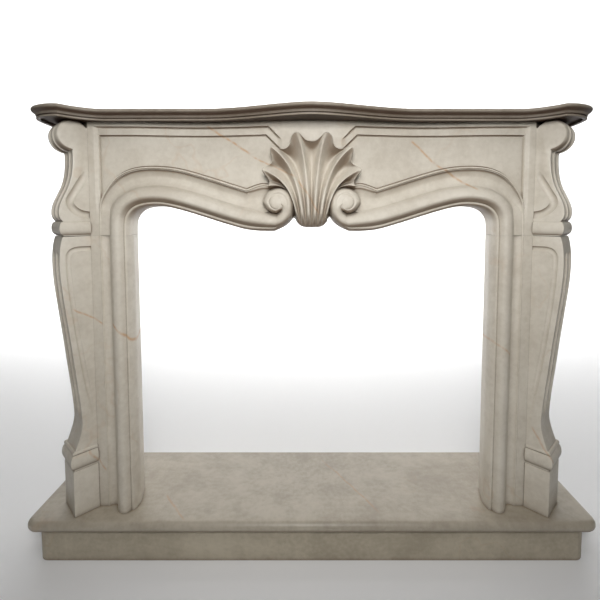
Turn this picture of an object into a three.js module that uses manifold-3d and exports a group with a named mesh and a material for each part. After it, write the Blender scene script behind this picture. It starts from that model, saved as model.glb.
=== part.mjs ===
import * as THREE from 'three';
import { mergeVertices } from 'three/addons/utils/BufferGeometryUtils.js';
import Module from 'manifold-3d';

// Marble fireplace mantel with a serpentine shelf, splayed scroll consoles, a carved
// shell on the frieze and a bullnosed hearth on a plinth. Millimetres, +X to the right,
// +Y towards the wall, +Z up, origin in the middle of the underside.

const wasm = await Module();
wasm.setup();

// Overall driving dimensions
const DEPTH = 366;
const WALL = DEPTH / 2;
const PLINTH_HEIGHT = 88;
const SLAB_THICK = 28;
const HEARTH_TOP = PLINTH_HEIGHT + SLAB_THICK;
const JOINT = HEARTH_TOP + 746;
const FRIEZE_TOP = HEARTH_TOP + 1042;
const SHELF_TOP = HEARTH_TOP + 1063;
const GAP = 0.3;
const JOIN_TOLERANCE = 0.01;

// Hearth in plan
const SLAB_HALF = 752;
const SLAB_FRONT = WALL - 316;
const SLAB_CORNER = 34;
const PLINTH_HALF = 727;
const PLINTH_FRONT = SLAB_FRONT + 20;
const PLINTH_CORNER = 26;

// Jambs and frieze in plan: the face line, the back, the splayed end at each console
const FACE = -65;
const BACK = 7;
const SEAM_X = 584;
const END_X = 630;
const BEAD_X = 561;
const OPENING_X = 478;
const REVEAL_SWELL = 2;
const REVEAL_SPLAY = 12;
const BOW = 16;

// Consoles: thickness across the splay and sunk flutes on the narrow face
const CONSOLE_THICK = 78;
const FLUTE_EDGES = [8, 35, 43, 70];
const FLUTE_SLOPE = 6;
const FLUTE_DEPTH = 6;
const SPLAY = Math.SQRT1_2;

// Upper bracket: its round head, and the reach and height of the curves under the head
const SCROLL_TOP = FRIEZE_TOP - HEARTH_TOP;
const HEAD_CENTRE = [32, 1003.5];
const HEAD_RADIUS = 39.5;
const SCROLL_NECK = [
  [35.5, 961], [34.5, 925], [38.5, 893], [50, 867], [60, 845], [72, 825], [71, 803],
];
const SCROLL_FOOT = [63, 784];
const SCROLL_FLUTES = [788, 1030];
const SCROLL_TORUS = { low: 748.5, high: 782.5, reach: 63, swell: 9 };

// Lower leg: reach and height of its front curves, and the block under them
const LEG_LINE = [
  [64, 745], [70, 732], [74, 700], [73.5, 665], [73, 610], [62, 540], [50, 418],
  [44, 355], [35.5, 290], [35, 250], [34.6, 226], [44, 204], [56, 171],
];
const LEG_FLUTES = [262, 705];
const LEG_TORUS = { low: 129, high: 168, reach: 57, swell: 10 };
const BLOCK_REACH = 54;
const BLOCK_BAND = [[0.5, 3], [120.5, 3], [123.5, 1]];
const FILLET_BAND = [[169, 2.5], [173, 2.5], [175, 0.5]];

// Grooves round the field of each inner cheek: reach and height of the line, width and depth
const SCROLL_GROOVE = [
  [-8, 950], [4, 922], [13, 900], [22, 878], [36, 855], [45, 838], [44, 824], [33, 811],
  [17, 802.5], [-8, 798.5],
];
const LEG_GROOVE = [
  [-8, 712], [12, 712], [34, 711], [48, 705], [54, 688], [52, 610], [42, 510], [27, 385],
  [10, 275], [-8, 200],
];
const SCROLL_GROOVE_CUT = { width: 16, depth: 4.5 };
const LEG_GROOVE_CUT = { width: 11, depth: 3.2 };

// Shelf: plan curves of the left half from the middle to the ear, edge section and rim
const SHELF_FRONT = [[0, -WALL], [-70, -WALL], [-170, -118], [-270, -118]];
const SHELF_EAR = [
  [-515, -116], [-548, -116], [-580, -142], [-598, -167], [-630, -172], [-676, -152],
  [-692, -118], [-704, -90], [-706, -40], [-708, 0],
];
const SHELF_HALF = 715;
const RIM_DROP = 28;
const RIM_INSET = 20;
const SHELF_NOSE = [
  [6, 0], [1, 2], [0, 6], [5, 12], [9, 15.5], [10.5, 20.5], [14.5, 22], [11, 24], [11, RIM_DROP],
];

// Sunk frieze panels: side, top, start of the cut corner, lower end and depth of each step
const PANEL_CORNER = 42;
const PANEL_STEP = { side: 569, top: HEARTH_TOP + 1030, corner: 113, bottom: HEARTH_TOP + 845, depth: 4 };
const PANEL_FIELD = { side: 557.5, top: HEARTH_TOP + 1008.5, corner: 118, bottom: HEARTH_TOP + 830, depth: 7 };

// Opening cut: share of the moulding's width that it reaches, and its end under the shell
const CUT_SHARE = 0.62;
const CUT_VOLUTE_SHARE = 0.82;
const CUT_CHANGE = [-210, -150];
const CUT_END = [[-78, 786], [-60, 796], [-52, 803], [-45, 803], [-38, 790], [-28, 776]];

// Bolection moulding: fraction of the width from the outer bead, and height proud
const ROLL_START = 0.36;
const ROLL_MAX = 58;
const MOULDING = [
  [0.0, 2.5], [0.045, 2.5], [0.055, -0.5], [0.2, -3], [ROLL_START, 3], [0.42, 14],
  [0.51, 23.5], [0.62, 29.5], [0.73, 29.5], [0.82, 23.5], [0.87, 15.5], [0.9, 17],
  [0.95, 14.5], [1.0, 3],
];

// Centre line heights of the sweep over the opening, from the joint to the volute
const OUTER_LINE = [
  [-BEAD_X, JOINT + GAP], [-559.5, HEARTH_TOP + 800], [-555, HEARTH_TOP + 835],
  [-538, HEARTH_TOP + 868], [-508, HEARTH_TOP + 902], [-464, HEARTH_TOP + 921.5],
  [-408, HEARTH_TOP + 926], [-349, HEARTH_TOP + 920], [-283, HEARTH_TOP + 902],
  [-226, HEARTH_TOP + 884], [-172, HEARTH_TOP + 867], [-130, HEARTH_TOP + 880],
  [-98, HEARTH_TOP + 874],
];
const INNER_LINE = [
  [-OPENING_X, JOINT + GAP], [-477, HEARTH_TOP + 776], [-472, HEARTH_TOP + 794],
  [-460, HEARTH_TOP + 809.5], [-441, HEARTH_TOP + 819], [-414, HEARTH_TOP + 823],
  [-381, HEARTH_TOP + 821], [-341, HEARTH_TOP + 811.5], [-287, HEARTH_TOP + 795],
  [-226, HEARTH_TOP + 776], [-165, HEARTH_TOP + 760.5], [-107, HEARTH_TOP + 761],
  [-78, HEARTH_TOP + 780],
];
const SWEEP_STEPS = 28;

// Volutes: eye, spiral and height
const EYE_X = 86;
const EYE_Z = HEARTH_TOP + 832.5;
const EYE_RADIUS = 23;
const EYE_PROUD = 38;
const SPIRAL_START = -104;
const SPIRAL_END = 282;
const SPIRAL_STEPS = 15;
const SPIRAL_INNER = [29, 8];
const SPIRAL_DOME = [[0, 10], [0.12, 23], [0.35, 30], [0.62, 29.5], [0.85, 20], [1, 3]];

// Shell: six ridges; tips of the right half from the side to the top, sag of the rim
// between tips, and proud height of the ridges and depth of the flutes from foot to rim
const SHELL_FOOT = HEARTH_TOP + 768;
const SHELL_TIPS = [[121.5, 910], [98, 966], [36.5, 1000]];
const SHELL_SAG = [[9.5, 7], [-4, 19], [0, 19]];
const SHELL_RIDGE = [[0, 6], [0.06, 25], [0.14, 36], [0.3, 35], [0.5, 29], [0.64, 29], [0.82, 39], [1, 50]];
const SHELL_FLUTE = [[0, 2], [0.14, 8], [0.5, 11], [0.8, 19], [1, 22]];
const SHELL_ROWS = [0, 0.06, 0.14, 0.3, 0.46, 0.62, 0.78, 0.9, 1];
const SHELL_COLUMNS = 24;
const SHELL_SPREAD = 1.2;

const STONE = { color: 0xcdc4b0, roughness: 0.42, metalness: 0.0 };

// Closed solid between rings of equal count; place(a, b, k) puts ring point k in space
function loft(rings, place) {
  const count = rings[0].length;
  const positions = [];
  rings.forEach((ring, k) => ring.forEach(([a, b]) => positions.push(...place(a, b, k))));
  const faces = [];
  for (let k = 0; k + 1 < rings.length; k++) {
    for (let i = 0; i < count; i++) {
      const p = k * count + i;
      const q = k * count + ((i + 1) % count);
      faces.push([p, q, q + count], [p, q + count, p + count]);
    }
  }
  const cap = (ring) => {
    const flat = ring.map(([a, b]) => new THREE.Vector2(a, b));
    const turned = THREE.ShapeUtils.isClockWise(flat);
    const order = flat.map((_, i) => (turned ? count - 1 - i : i));
    const triangles = THREE.ShapeUtils.triangulateShape(order.map((i) => flat[i]), []);
    return triangles.map((t) => t.map((i) => order[i])).map((t) => (turned ? t.reverse() : t));
  };
  const last = (rings.length - 1) * count;
  cap(rings[0]).forEach(([a, b, c]) => faces.push([a, c, b]));
  cap(rings[rings.length - 1]).forEach(([a, b, c]) => faces.push([last + a, last + b, last + c]));
  return facing(positions, faces);
}

// Geometry from positions and faces, turned so that its volume is positive
function facing(positions, faces) {
  const point = (i) => new THREE.Vector3(...positions.slice(3 * i, 3 * i + 3));
  let volume = 0;
  for (const [a, b, c] of faces) {
    volume += point(a).dot(point(b).cross(point(c)));
  }
  const ordered = volume < 0 ? faces.map(([a, b, c]) => [a, c, b]) : faces;
  const geometry = new THREE.BufferGeometry();
  geometry.setAttribute('position', new THREE.Float32BufferAttribute(positions, 3));
  geometry.setIndex(ordered.flat());
  return geometry;
}

function toSolid(geometry) {
  const bare = geometry.clone();
  bare.deleteAttribute('normal');
  bare.deleteAttribute('uv');
  const merged = mergeVertices(bare, 1e-4);
  return new wasm.Manifold(new wasm.Mesh({
    numProp: 3,
    vertProperties: new Float32Array(merged.attributes.position.array),
    triVerts: new Uint32Array(merged.index.array),
  }));
}

function toGeometry(solid) {
  const mesh = solid.setTolerance(JOIN_TOLERANCE).getMesh();
  const geometry = new THREE.BufferGeometry();
  geometry.setAttribute('position', new THREE.BufferAttribute(mesh.vertProperties, 3));
  geometry.setIndex(new THREE.BufferAttribute(mesh.triVerts, 1));
  return geometry;
}

function mirrored(geometry) {
  const copy = geometry.clone().scale(-1, 1, 1);
  const index = Array.from(copy.index.array);
  for (let i = 0; i < index.length; i += 3) {
    [index[i + 1], index[i + 2]] = [index[i + 2], index[i + 1]];
  }
  copy.setIndex(index);
  return copy;
}

// Prism on a plan outline between two heights
function prism(outline, low, high) {
  return loft([outline, outline], (x, y, k) => [x, y, k ? high : low]);
}

// Prism on an outline in the XZ plane between two depths
function slabCut(outline, front, back) {
  return loft([outline, outline], (x, z, k) => [x, k ? back : front, z]);
}

// Open line moved sideways, with mitred corners; its ends move straight along X
function inset(line, distance) {
  return line.map(([x, y], i) => {
    if (i === 0 || i === line.length - 1) {
      return [x - Math.sign(x) * distance, y];
    }
    const before = new THREE.Vector2(x - line[i - 1][0], y - line[i - 1][1]).normalize();
    const after = new THREE.Vector2(line[i + 1][0] - x, line[i + 1][1] - y).normalize();
    const mean = before.clone().add(after).normalize();
    const mitre = distance / Math.max(mean.dot(before), 0.5);
    return [x - mean.y * mitre, y + mean.x * mitre];
  });
}

const mix = (a, b, t) => a + (b - a) * t;

// Points along a chain of cubic curves, three more control points for each curve
function curves(chain, steps) {
  const path = new THREE.Path();
  path.moveTo(...chain[0]);
  for (let i = 1; i < chain.length; i += 3) {
    path.bezierCurveTo(...chain[i], ...chain[i + 1], ...chain[i + 2]);
  }
  return path.getPoints(steps).map((p) => [p.x, p.y]);
}

// Value of a line of [position, value] keys, held at both ends
function along(keys, at) {
  if (at <= keys[0][0]) {
    return keys[0][1];
  }
  for (let i = 1; i < keys.length; i++) {
    if (at <= keys[i][0]) {
      return mix(keys[i - 1][1], keys[i][1], (at - keys[i - 1][0]) / (keys[i][0] - keys[i - 1][0]));
    }
  }
  return keys[keys.length - 1][1];
}

// Serpentine face of the frieze: nearer in the middle, back between, flat over the jambs
function faceAt(x) {
  const share = Math.min(Math.abs(x) / OPENING_X, 1);
  return FACE - BOW * Math.cos(1.5 * Math.PI * share) * Math.sqrt(1 - share * share);
}

// Left half of the shelf's front edge, from the middle to the wall, then both halves
function shelfLine() {
  const half = [...curves(SHELF_FRONT, 6), ...curves(SHELF_EAR, 6), [-SHELF_HALF, WALL]];
  const right = half.map(([x, y]) => [-x, y]);
  return [...half.slice(1).reverse(), ...right];
}

function shelf() {
  const line = shelfLine();
  const rings = SHELF_NOSE.map(([o]) => inset(line, o));
  const top = loft(rings, (x, y, k) => [x, y, SHELF_TOP - SHELF_NOSE[k][1]]);
  const pocketLine = inset(line, RIM_INSET).map(([x, y]) => [x, y === WALL ? WALL + 10 : y]);
  const pocket = prism(pocketLine, SHELF_TOP - RIM_DROP - 10, FRIEZE_TOP);
  return toGeometry(toSolid(top).subtract(toSolid(pocket)));
}

// Front and side line of a block with rounded front corners, from the left wall corner
function blockLine(half, front, radius) {
  const line = [[-half, WALL]];
  const turns = 6;
  for (const side of [-1, 1]) {
    for (let i = 0; i <= turns; i++) {
      const angle = ((side < 0 ? i : turns - i) / turns) * (Math.PI / 2);
      const x = half - radius + radius * Math.cos(angle);
      line.push([side * x, front + radius - radius * Math.sin(angle)]);
    }
  }
  line.push([half, WALL]);
  return line;
}

function hearthPlinth() {
  return prism(blockLine(PLINTH_HALF, PLINTH_FRONT, PLINTH_CORNER), 0, PLINTH_HEIGHT);
}

function hearthSlab() {
  const line = blockLine(SLAB_HALF, SLAB_FRONT, SLAB_CORNER);
  const steps = 8;
  const nose = Array.from({ length: steps + 1 }, (_, i) => {
    const rise = Math.cos((Math.PI * i) / steps);
    const swell = Math.sin((Math.PI * i) / steps);
    const radius = (SLAB_THICK - GAP) / 2;
    return [radius * (1 - swell), HEARTH_TOP - radius + radius * rise];
  });
  return loft(nose.map(([o]) => inset(line, o)), (x, y, k) => [x, y, nose[k][1]]);
}

// Left jamb: its moulded section in plan, run straight up
function jamb() {
  const front = MOULDING.map(([a, d]) => [mix(-BEAD_X, -OPENING_X, a), FACE - d]);
  const outline = [
    [-SEAM_X, FACE], [-BEAD_X - 1, FACE], ...front,
    [-OPENING_X + REVEAL_SWELL, FACE + 14], [-OPENING_X - 2, FACE + 42],
    [-OPENING_X - REVEAL_SPLAY, BACK], [-END_X, BACK], [-END_X, FACE + END_X - SEAM_X],
  ];
  return prism(outline, HEARTH_TOP + GAP, JOINT);
}

// Stations of the sweep over the opening: outer and inner points, half the width
function stations() {
  const spline = (line) => new THREE.SplineCurve(line.map(([x, z]) => new THREE.Vector2(x, z)));
  const outer = spline(OUTER_LINE).getPoints(SWEEP_STEPS);
  const inner = spline(INNER_LINE).getPoints(SWEEP_STEPS);
  return outer.map((o, i) => ({ o, i: inner[i] }));
}

// Fraction across a station for a profile fraction, with the roll held to its width
function across(station, a) {
  const width = station.o.distanceTo(station.i);
  const start = 1 - Math.min((1 - ROLL_START) * width, ROLL_MAX) / width;
  if (a < ROLL_START) {
    return (start * a) / ROLL_START;
  }
  return mix(start, 1, (a - ROLL_START) / (1 - ROLL_START));
}

function sweptMoulding(line) {
  const back = FACE - BACK;
  const ring = [...MOULDING, [1, back], [ROLL_START, back], [0, -12]];
  const rings = line.map(() => ring.map(([a, d]) => [a * 100, d]));
  return loft(rings, (share, d, k) => {
    const station = line[k];
    const f = across(station, share / 100);
    const splay = share === 100 && d === back ? 1 + REVEAL_SPLAY / OPENING_X : 1;
    const x = mix(station.o.x, station.i.x, f) * splay;
    const z = mix(station.o.y, station.i.y, f);
    return [x, d === back ? BACK : faceAt(x) - d, z];
  });
}

// Outer radius of the left volute's spiral at an angle in degrees
const spiralRadius = (angle) => 43 - 0.06 * angle + 27 * Math.exp((SPIRAL_START - angle) / 30);

function volute() {
  const ring = [[0, null], ...SPIRAL_DOME, [1, null]];
  const angles = Array.from({ length: SPIRAL_STEPS + 1 }, (_, i) => (
    mix(SPIRAL_START, SPIRAL_END, i / SPIRAL_STEPS)
  ));
  const rings = angles.map(() => ring.map(([t, d]) => [t * 50, d === null ? -40 : d]));
  const band = loft(rings, (share, d, k) => {
    const angle = angles[k];
    const progress = k / SPIRAL_STEPS;
    const outer = spiralRadius(angle);
    const inner = mix(...SPIRAL_INNER, Math.min(1, progress * 1.6));
    const radius = mix(inner, outer, share / 50);
    const x = -EYE_X + radius * Math.cos(THREE.MathUtils.degToRad(angle));
    const z = EYE_Z + radius * Math.sin(THREE.MathUtils.degToRad(angle));
    return [x, d < 0 ? BACK : faceAt(x) - d * (1 + 0.2 * progress), z];
  });
  const lathe = [[0, 0], [EYE_RADIUS, 0], [EYE_RADIUS, EYE_PROUD - 7], [14, EYE_PROUD], [0, EYE_PROUD + 1]];
  const eye = new THREE.LatheGeometry(lathe.map(([r, d]) => new THREE.Vector2(r, d)), 16);
  eye.rotateX(Math.PI / 2);
  eye.translate(-EYE_X, faceAt(EYE_X), EYE_Z);
  return toSolid(band).add(toSolid(eye));
}

// Shell rim at a spread from -1 to 1: scalloped between the six ridge tips
function shellRim(spread) {
  const tips = [
    ...SHELL_TIPS.map(([x, z]) => [-x, z]),
    ...[...SHELL_TIPS].reverse(),
  ];
  const sags = [SHELL_SAG[0], SHELL_SAG[1], SHELL_SAG[2], [-SHELL_SAG[1][0], SHELL_SAG[1][1]],
    [-SHELL_SAG[0][0], SHELL_SAG[0][1]]];
  const at = ((Math.min(Math.max(spread, -1), 1) + 1) / 2) * 5;
  const lobe = Math.min(Math.floor(at), 4);
  const f = at - lobe;
  const scoop = Math.sin(Math.PI * f) ** 2;
  return {
    x: mix(tips[lobe][0], tips[lobe + 1][0], f) + sags[lobe][0] * scoop,
    z: HEARTH_TOP + mix(tips[lobe][1], tips[lobe + 1][1], f) - sags[lobe][1] * scoop,
    flute: Math.sin(Math.PI * f),
  };
}

// Shell surface point for a spread across and a share of the way from foot to rim
function shellPoint(spread, t) {
  const rim = shellRim(spread);
  const over = Math.max(Math.abs(spread) - 1, 0) / (SHELL_SPREAD - 1);
  const end = new THREE.Vector2(rim.x * (1 - 0.18 * over), rim.z - 22 * over);
  const curve = new THREE.CubicBezierCurve(
    new THREE.Vector2(35 * spread, SHELL_FOOT + 9 * spread ** 4),
    new THREE.Vector2(44 * spread, SHELL_FOOT + 85),
    new THREE.Vector2(70 * spread, SHELL_FOOT + 177 - 52 * spread * spread),
    end,
  );
  const point = curve.getPoint(t);
  const proud = along(SHELL_RIDGE, t) - along(SHELL_FLUTE, t) * rim.flute;
  return [point.x, faceAt(point.x) - Math.max(mix(proud, 4, over), 2), point.y];
}

function shell() {
  const columns = SHELL_COLUMNS;
  const positions = [];
  for (const depth of [0, 1]) {
    for (const t of SHELL_ROWS) {
      for (let i = 0; i <= columns; i++) {
        const [x, y, z] = shellPoint(mix(-SHELL_SPREAD, SHELL_SPREAD, i / columns), t);
        positions.push(x, depth ? BACK : y, z);
      }
    }
  }
  const wide = columns + 1;
  const layer = wide * SHELL_ROWS.length;
  const faces = [];
  const quad = (a, b, c, d) => faces.push([a, b, c], [a, c, d]);
  for (let r = 0; r + 1 < SHELL_ROWS.length; r++) {
    for (let i = 0; i < columns; i++) {
      const p = r * wide + i;
      quad(p, p + 1, p + 1 + wide, p + wide);
      quad(layer + p, layer + p + wide, layer + p + 1 + wide, layer + p + 1);
    }
    const left = r * wide;
    const right = r * wide + columns;
    quad(left, left + wide, layer + left + wide, layer + left);
    quad(right, layer + right, layer + right + wide, right + wide);
  }
  const top = (SHELL_ROWS.length - 1) * wide;
  for (let i = 0; i < columns; i++) {
    quad(i, layer + i, layer + i + 1, i + 1);
    quad(top + i, top + i + 1, layer + top + i + 1, layer + top + i);
  }
  return toSolid(facing(positions, faces));
}

// Plan of the frieze's front region up to a depth behind its face
function faceRegion(depth, halfWidth) {
  const steps = 24;
  const line = [];
  for (let i = 0; i <= steps; i++) {
    const x = mix(-halfWidth, halfWidth, i / steps);
    line.push([x, faceAt(x) + depth]);
  }
  return line;
}

// Cutter for one step of both sunk panels, down to its depth behind the bowed face
function panelCutter({ side, top, corner, bottom, depth }) {
  const outline = [
    [-side, bottom], [-side, top], [-corner, top],
    [-corner + PANEL_CORNER, top - PANEL_CORNER], [-corner + PANEL_CORNER, bottom],
  ];
  const region = [[-SEAM_X, -WALL], ...faceRegion(depth, SEAM_X), [SEAM_X, -WALL]];
  const reach = toSolid(prism(region, JOINT, FRIEZE_TOP));
  const left = slabCut(outline, -WALL - 5, 0);
  return reach.intersect(toSolid(left).add(toSolid(mirrored(left))));
}

// Cutter for the opening, behind the moulding, up beside the volutes and under the shell
function openingCutter(line, low) {
  const middle = line.map((s) => {
    const share = along([[CUT_CHANGE[0], CUT_SHARE], [CUT_CHANGE[1], CUT_VOLUTE_SHARE]], s.o.x);
    return [mix(s.o.x, s.i.x, share), mix(s.o.y, s.i.y, share)];
  });
  const left = [[middle[0][0], low], ...middle, ...CUT_END.map(([x, z]) => [x, HEARTH_TOP + z])];
  const right = left.map(([x, z]) => [-x, z]).reverse();
  return toSolid(slabCut([...left, ...right], -WALL, WALL));
}

function frieze() {
  const line = stations();
  const low = JOINT + GAP;
  const plan = [
    ...faceRegion(0, SEAM_X), [END_X, FACE + END_X - SEAM_X], [END_X, BACK], [-END_X, BACK],
    [-END_X, FACE + END_X - SEAM_X],
  ];
  const roll = toSolid(sweptMoulding(line));
  const rightRoll = toSolid(mirrored(sweptMoulding(line)));
  const leftVolute = volute();
  const rightVolute = toSolid(mirrored(toGeometry(leftVolute)));
  return toGeometry(
    toSolid(prism(plan, low, FRIEZE_TOP - GAP))
      .subtract(openingCutter(line, low - 20))
      .subtract(panelCutter(PANEL_STEP))
      .subtract(panelCutter(PANEL_FIELD))
      .add(roll)
      .add(rightRoll)
      .add(leftVolute)
      .add(rightVolute)
      .add(shell()),
  );
}

// A point of the left console: u out along the splay, v across it from the inner cheek
function consolePlace(u, v, z) {
  const out = u + GAP;
  return [-SEAM_X - (out + v) * SPLAY, FACE - (out - v) * SPLAY, HEARTH_TOP + z];
}

// Console body from its side profile, sunk flutes run down the narrow face between two heights
function consoleBody(profile, fluteLow, fluteHigh) {
  const [a, b, c, d] = FLUTE_EDGES;
  const s = FLUTE_SLOPE;
  const cuts = [[0, 0], [a, 0], [a + s, 1], [b - s, 1], [b, 0], [c, 0], [c + s, 1], [d - s, 1], [d, 0],
    [CONSOLE_THICK, 0]];
  const rings = cuts.map(([, sunk]) => profile.map(([u, z], i) => {
    if (!sunk || u < FLUTE_DEPTH * 2 || z <= fluteLow || z >= fluteHigh) {
      return [u, z];
    }
    const from = profile[i - 1];
    const to = profile[i + 1];
    const run = new THREE.Vector2(to[0] - from[0], to[1] - from[1]).normalize();
    return [u + run.y * FLUTE_DEPTH, z - run.x * FLUTE_DEPTH];
  }));
  return toSolid(loft(rings, (u, z, k) => consolePlace(u, cuts[k][0], z)));
}

// Heights and swell of a half-round torus
function halfRound({ low, high, swell }) {
  const steps = 6;
  return Array.from({ length: steps + 1 }, (_, i) => {
    const angle = (Math.PI * i) / steps;
    return [mix(low, high, (1 - Math.cos(angle)) / 2), swell * Math.sin(angle)];
  });
}

// Band round the narrow face and the inner cheek of a console, mitred to the face line;
// levels are heights with the swell there
function consoleBand(reach, levels) {
  const rings = levels.map(([, e]) => [
    [GAP - e, -e], [reach + e, -e], [reach + e, CONSOLE_THICK], [0, CONSOLE_THICK], [0, 0],
  ]);
  return toSolid(loft(rings, (u, v, k) => consolePlace(u, v, levels[k][0])));
}

// Cutter for a groove along a line on the inner cheek, with sloping sides
function cheekGroove(line, { width, depth }) {
  const path = new THREE.SplineCurve(line.map(([u, z]) => new THREE.Vector2(u, z)));
  const steps = line.length + 2;
  const points = path.getPoints(steps);
  const section = [[width * 0.6, -1], [width * 0.25, depth], [-width * 0.25, depth], [-width * 0.6, -1]];
  return toSolid(loft(points.map(() => section), (a, v, k) => {
    const run = path.getTangent(k / steps);
    return consolePlace(points[k].x - run.y * a, v, points[k].y + run.x * a);
  }));
}

function consoleScroll() {
  const head = new THREE.Path();
  head.absarc(...HEAD_CENTRE, HEAD_RADIUS, 2.503, 1.308, true);
  head.absarc(...HEAD_CENTRE, HEAD_RADIUS, 1.265, -1.45, true);
  const turned = [...head.getPoints(4).map((p) => [p.x, p.y]), ...curves(SCROLL_NECK, 4), SCROLL_FOOT];
  const lidded = turned.map(([u, z]) => [u, Math.min(z, SCROLL_TOP - GAP)]);
  const bottom = JOINT - HEARTH_TOP + GAP;
  const profile = [[0, bottom], ...lidded, [SCROLL_FOOT[0], bottom]];
  return consoleBody(profile, ...SCROLL_FLUTES)
    .subtract(cheekGroove(SCROLL_GROOVE, SCROLL_GROOVE_CUT))
    .add(consoleBand(SCROLL_TORUS.reach, halfRound(SCROLL_TORUS)));
}

function consoleLeg() {
  const top = LEG_LINE[0][1];
  const levels = [...BLOCK_BAND, ...halfRound(LEG_TORUS), ...FILLET_BAND];
  const profile = [[0, 0.5], [0, top], ...curves(LEG_LINE, 5), [BLOCK_REACH, 169], [BLOCK_REACH, 0.5]];
  return consoleBody(profile, ...LEG_FLUTES)
    .subtract(cheekGroove(LEG_GROOVE, LEG_GROOVE_CUT))
    .add(consoleBand(LEG_TORUS.reach, levels));
}

// Left return: plain slab from the back of the console to the wall
function sideReturn() {
  const outer = 660;
  const inner = SEAM_X + CONSOLE_THICK * SPLAY + 2;
  const corner = (x) => FACE + CONSOLE_THICK * SPLAY * 2 + 1 - (x - SEAM_X);
  return prism(
    [[-outer, corner(outer)], [-inner, corner(inner)], [-inner, WALL], [-outer, WALL]],
    HEARTH_TOP + GAP,
    FRIEZE_TOP - GAP,
  );
}

const mantel = new THREE.Group();
mantel.name = 'fireplace_mantel';

function addPiece(name, geometry) {
  const mesh = new THREE.Mesh(geometry, new THREE.MeshStandardMaterial(STONE));
  mesh.name = name;
  mantel.add(mesh);
}

function addPair(name, geometry) {
  addPiece(`${name}_left`, geometry);
  addPiece(`${name}_right`, mirrored(geometry));
}

addPiece('hearth_plinth', hearthPlinth());
addPiece('hearth_slab', hearthSlab());
addPair('jamb', jamb());
addPair('console_leg', toGeometry(consoleLeg()));
addPair('console_scroll', toGeometry(consoleScroll()));
addPair('return', sideReturn());
addPiece('frieze', frieze());
addPiece('shelf', shelf());

export default mantel;
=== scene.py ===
"""Marble fireplace mantel: carved frieze, splayed consoles, serpentine shelf and hearth.

Lengths in the classes are millimetres in the part's own frame, +X right, +Y to the wall
and +Z up. The mesh factory turns them into metres.
"""
import logging
import math
from dataclasses import dataclass
from enum import Enum

import bmesh
import bpy
import numpy as np
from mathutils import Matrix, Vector


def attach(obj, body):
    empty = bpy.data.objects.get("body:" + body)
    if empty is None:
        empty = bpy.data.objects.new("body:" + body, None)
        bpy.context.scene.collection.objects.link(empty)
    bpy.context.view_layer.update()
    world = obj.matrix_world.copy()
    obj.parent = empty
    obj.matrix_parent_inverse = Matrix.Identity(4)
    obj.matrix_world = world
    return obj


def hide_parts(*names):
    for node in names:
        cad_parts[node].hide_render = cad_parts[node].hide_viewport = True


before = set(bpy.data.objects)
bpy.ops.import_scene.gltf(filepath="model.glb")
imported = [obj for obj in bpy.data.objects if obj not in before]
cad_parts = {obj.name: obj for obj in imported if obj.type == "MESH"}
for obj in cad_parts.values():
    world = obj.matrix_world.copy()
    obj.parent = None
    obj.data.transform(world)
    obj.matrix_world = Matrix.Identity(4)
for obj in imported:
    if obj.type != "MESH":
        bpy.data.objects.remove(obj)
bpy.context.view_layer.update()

LOG = logging.getLogger("mantel")
MM = 0.001
JOIN_DISTANCE = 2e-6
SHARP_ANGLE = 32
ROD_SHARP_ANGLE = 50
ROD_SIDES = 16
SHARPEST_MITRE = 0.5

Pairs = list[tuple[float, float]]
Colour = tuple[float, float, float]
Place = tuple[float, float, float]


# Curves and numbers


def catmull(keys: np.ndarray, steps: int) -> np.ndarray:
    """Sample a smooth line through points, in a number of steps."""
    keys = np.asarray(keys, float)
    last = len(keys) - 1
    at = np.linspace(0, last, steps + 1)
    i = np.minimum(at.astype(int), last - 1)
    t = (at - i)[:, None]
    p0, p1 = keys[np.maximum(i - 1, 0)], keys[i]
    p2, p3 = keys[i + 1], keys[np.minimum(i + 2, last)]
    v0, v1 = (p2 - p0) / 2, (p3 - p1) / 2
    cubic = (2 * p1 - 2 * p2 + v0 + v1) * t ** 3
    square = (-3 * p1 + 3 * p2 - 2 * v0 - v1) * t ** 2
    return cubic + square + v0 * t + p1


def eased(keys: "Pairs | tuple", at: np.ndarray) -> np.ndarray:
    """Smooth line through rising position and value keys, that never overshoots them."""
    x, y = np.array(keys, float).T
    at = np.clip(np.asarray(at, float), x[0], x[-1])
    h = np.diff(x)
    d = np.diff(y) / h
    m = np.concatenate([[d[0]], np.zeros(len(x) - 2), [d[-1]]])
    same = d[:-1] * d[1:] > 0
    total = np.where(same, d[:-1] + d[1:], 1.0)
    m[1:-1] = np.where(same, 2 * d[:-1] * d[1:] / total, 0.0)
    i = np.clip(np.searchsorted(x, at, side="right") - 1, 0, len(x) - 2)
    t = (at - x[i]) / h[i]
    a = (1 + 2 * t) * (1 - t) ** 2 * y[i] + t * (1 - t) ** 2 * h[i] * m[i]
    b = t * t * (3 - 2 * t) * y[i + 1] + t * t * (t - 1) * h[i] * m[i + 1]
    return a + b


def ramp(value: np.ndarray) -> np.ndarray:
    """Soft step from 0 to 1 as the value passes from 0 to 1."""
    t = np.clip(value, 0, 1)
    return t * t * (3 - 2 * t)


def chain(start: tuple, *parts: tuple) -> np.ndarray:
    """Sample a run of cubic curves.

    Args:
        start: the first point.
        parts: each curve's control points, end and steps, or one point for a straight run.
    """
    line = [np.array([start], float)]
    for part in parts:
        if len(part) == 1:
            line.append(np.array(part, float))
            continue
        t = np.linspace(0, 1, part[3] + 1)[1:, None]
        a, b, c, d = line[-1][-1], *(np.array(p, float) for p in part[:3])
        u = 1 - t
        line.append(a * u ** 3 + 3 * b * t * u ** 2 + 3 * c * t * t * u + d * t ** 3)
    return np.concatenate(line)


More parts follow.
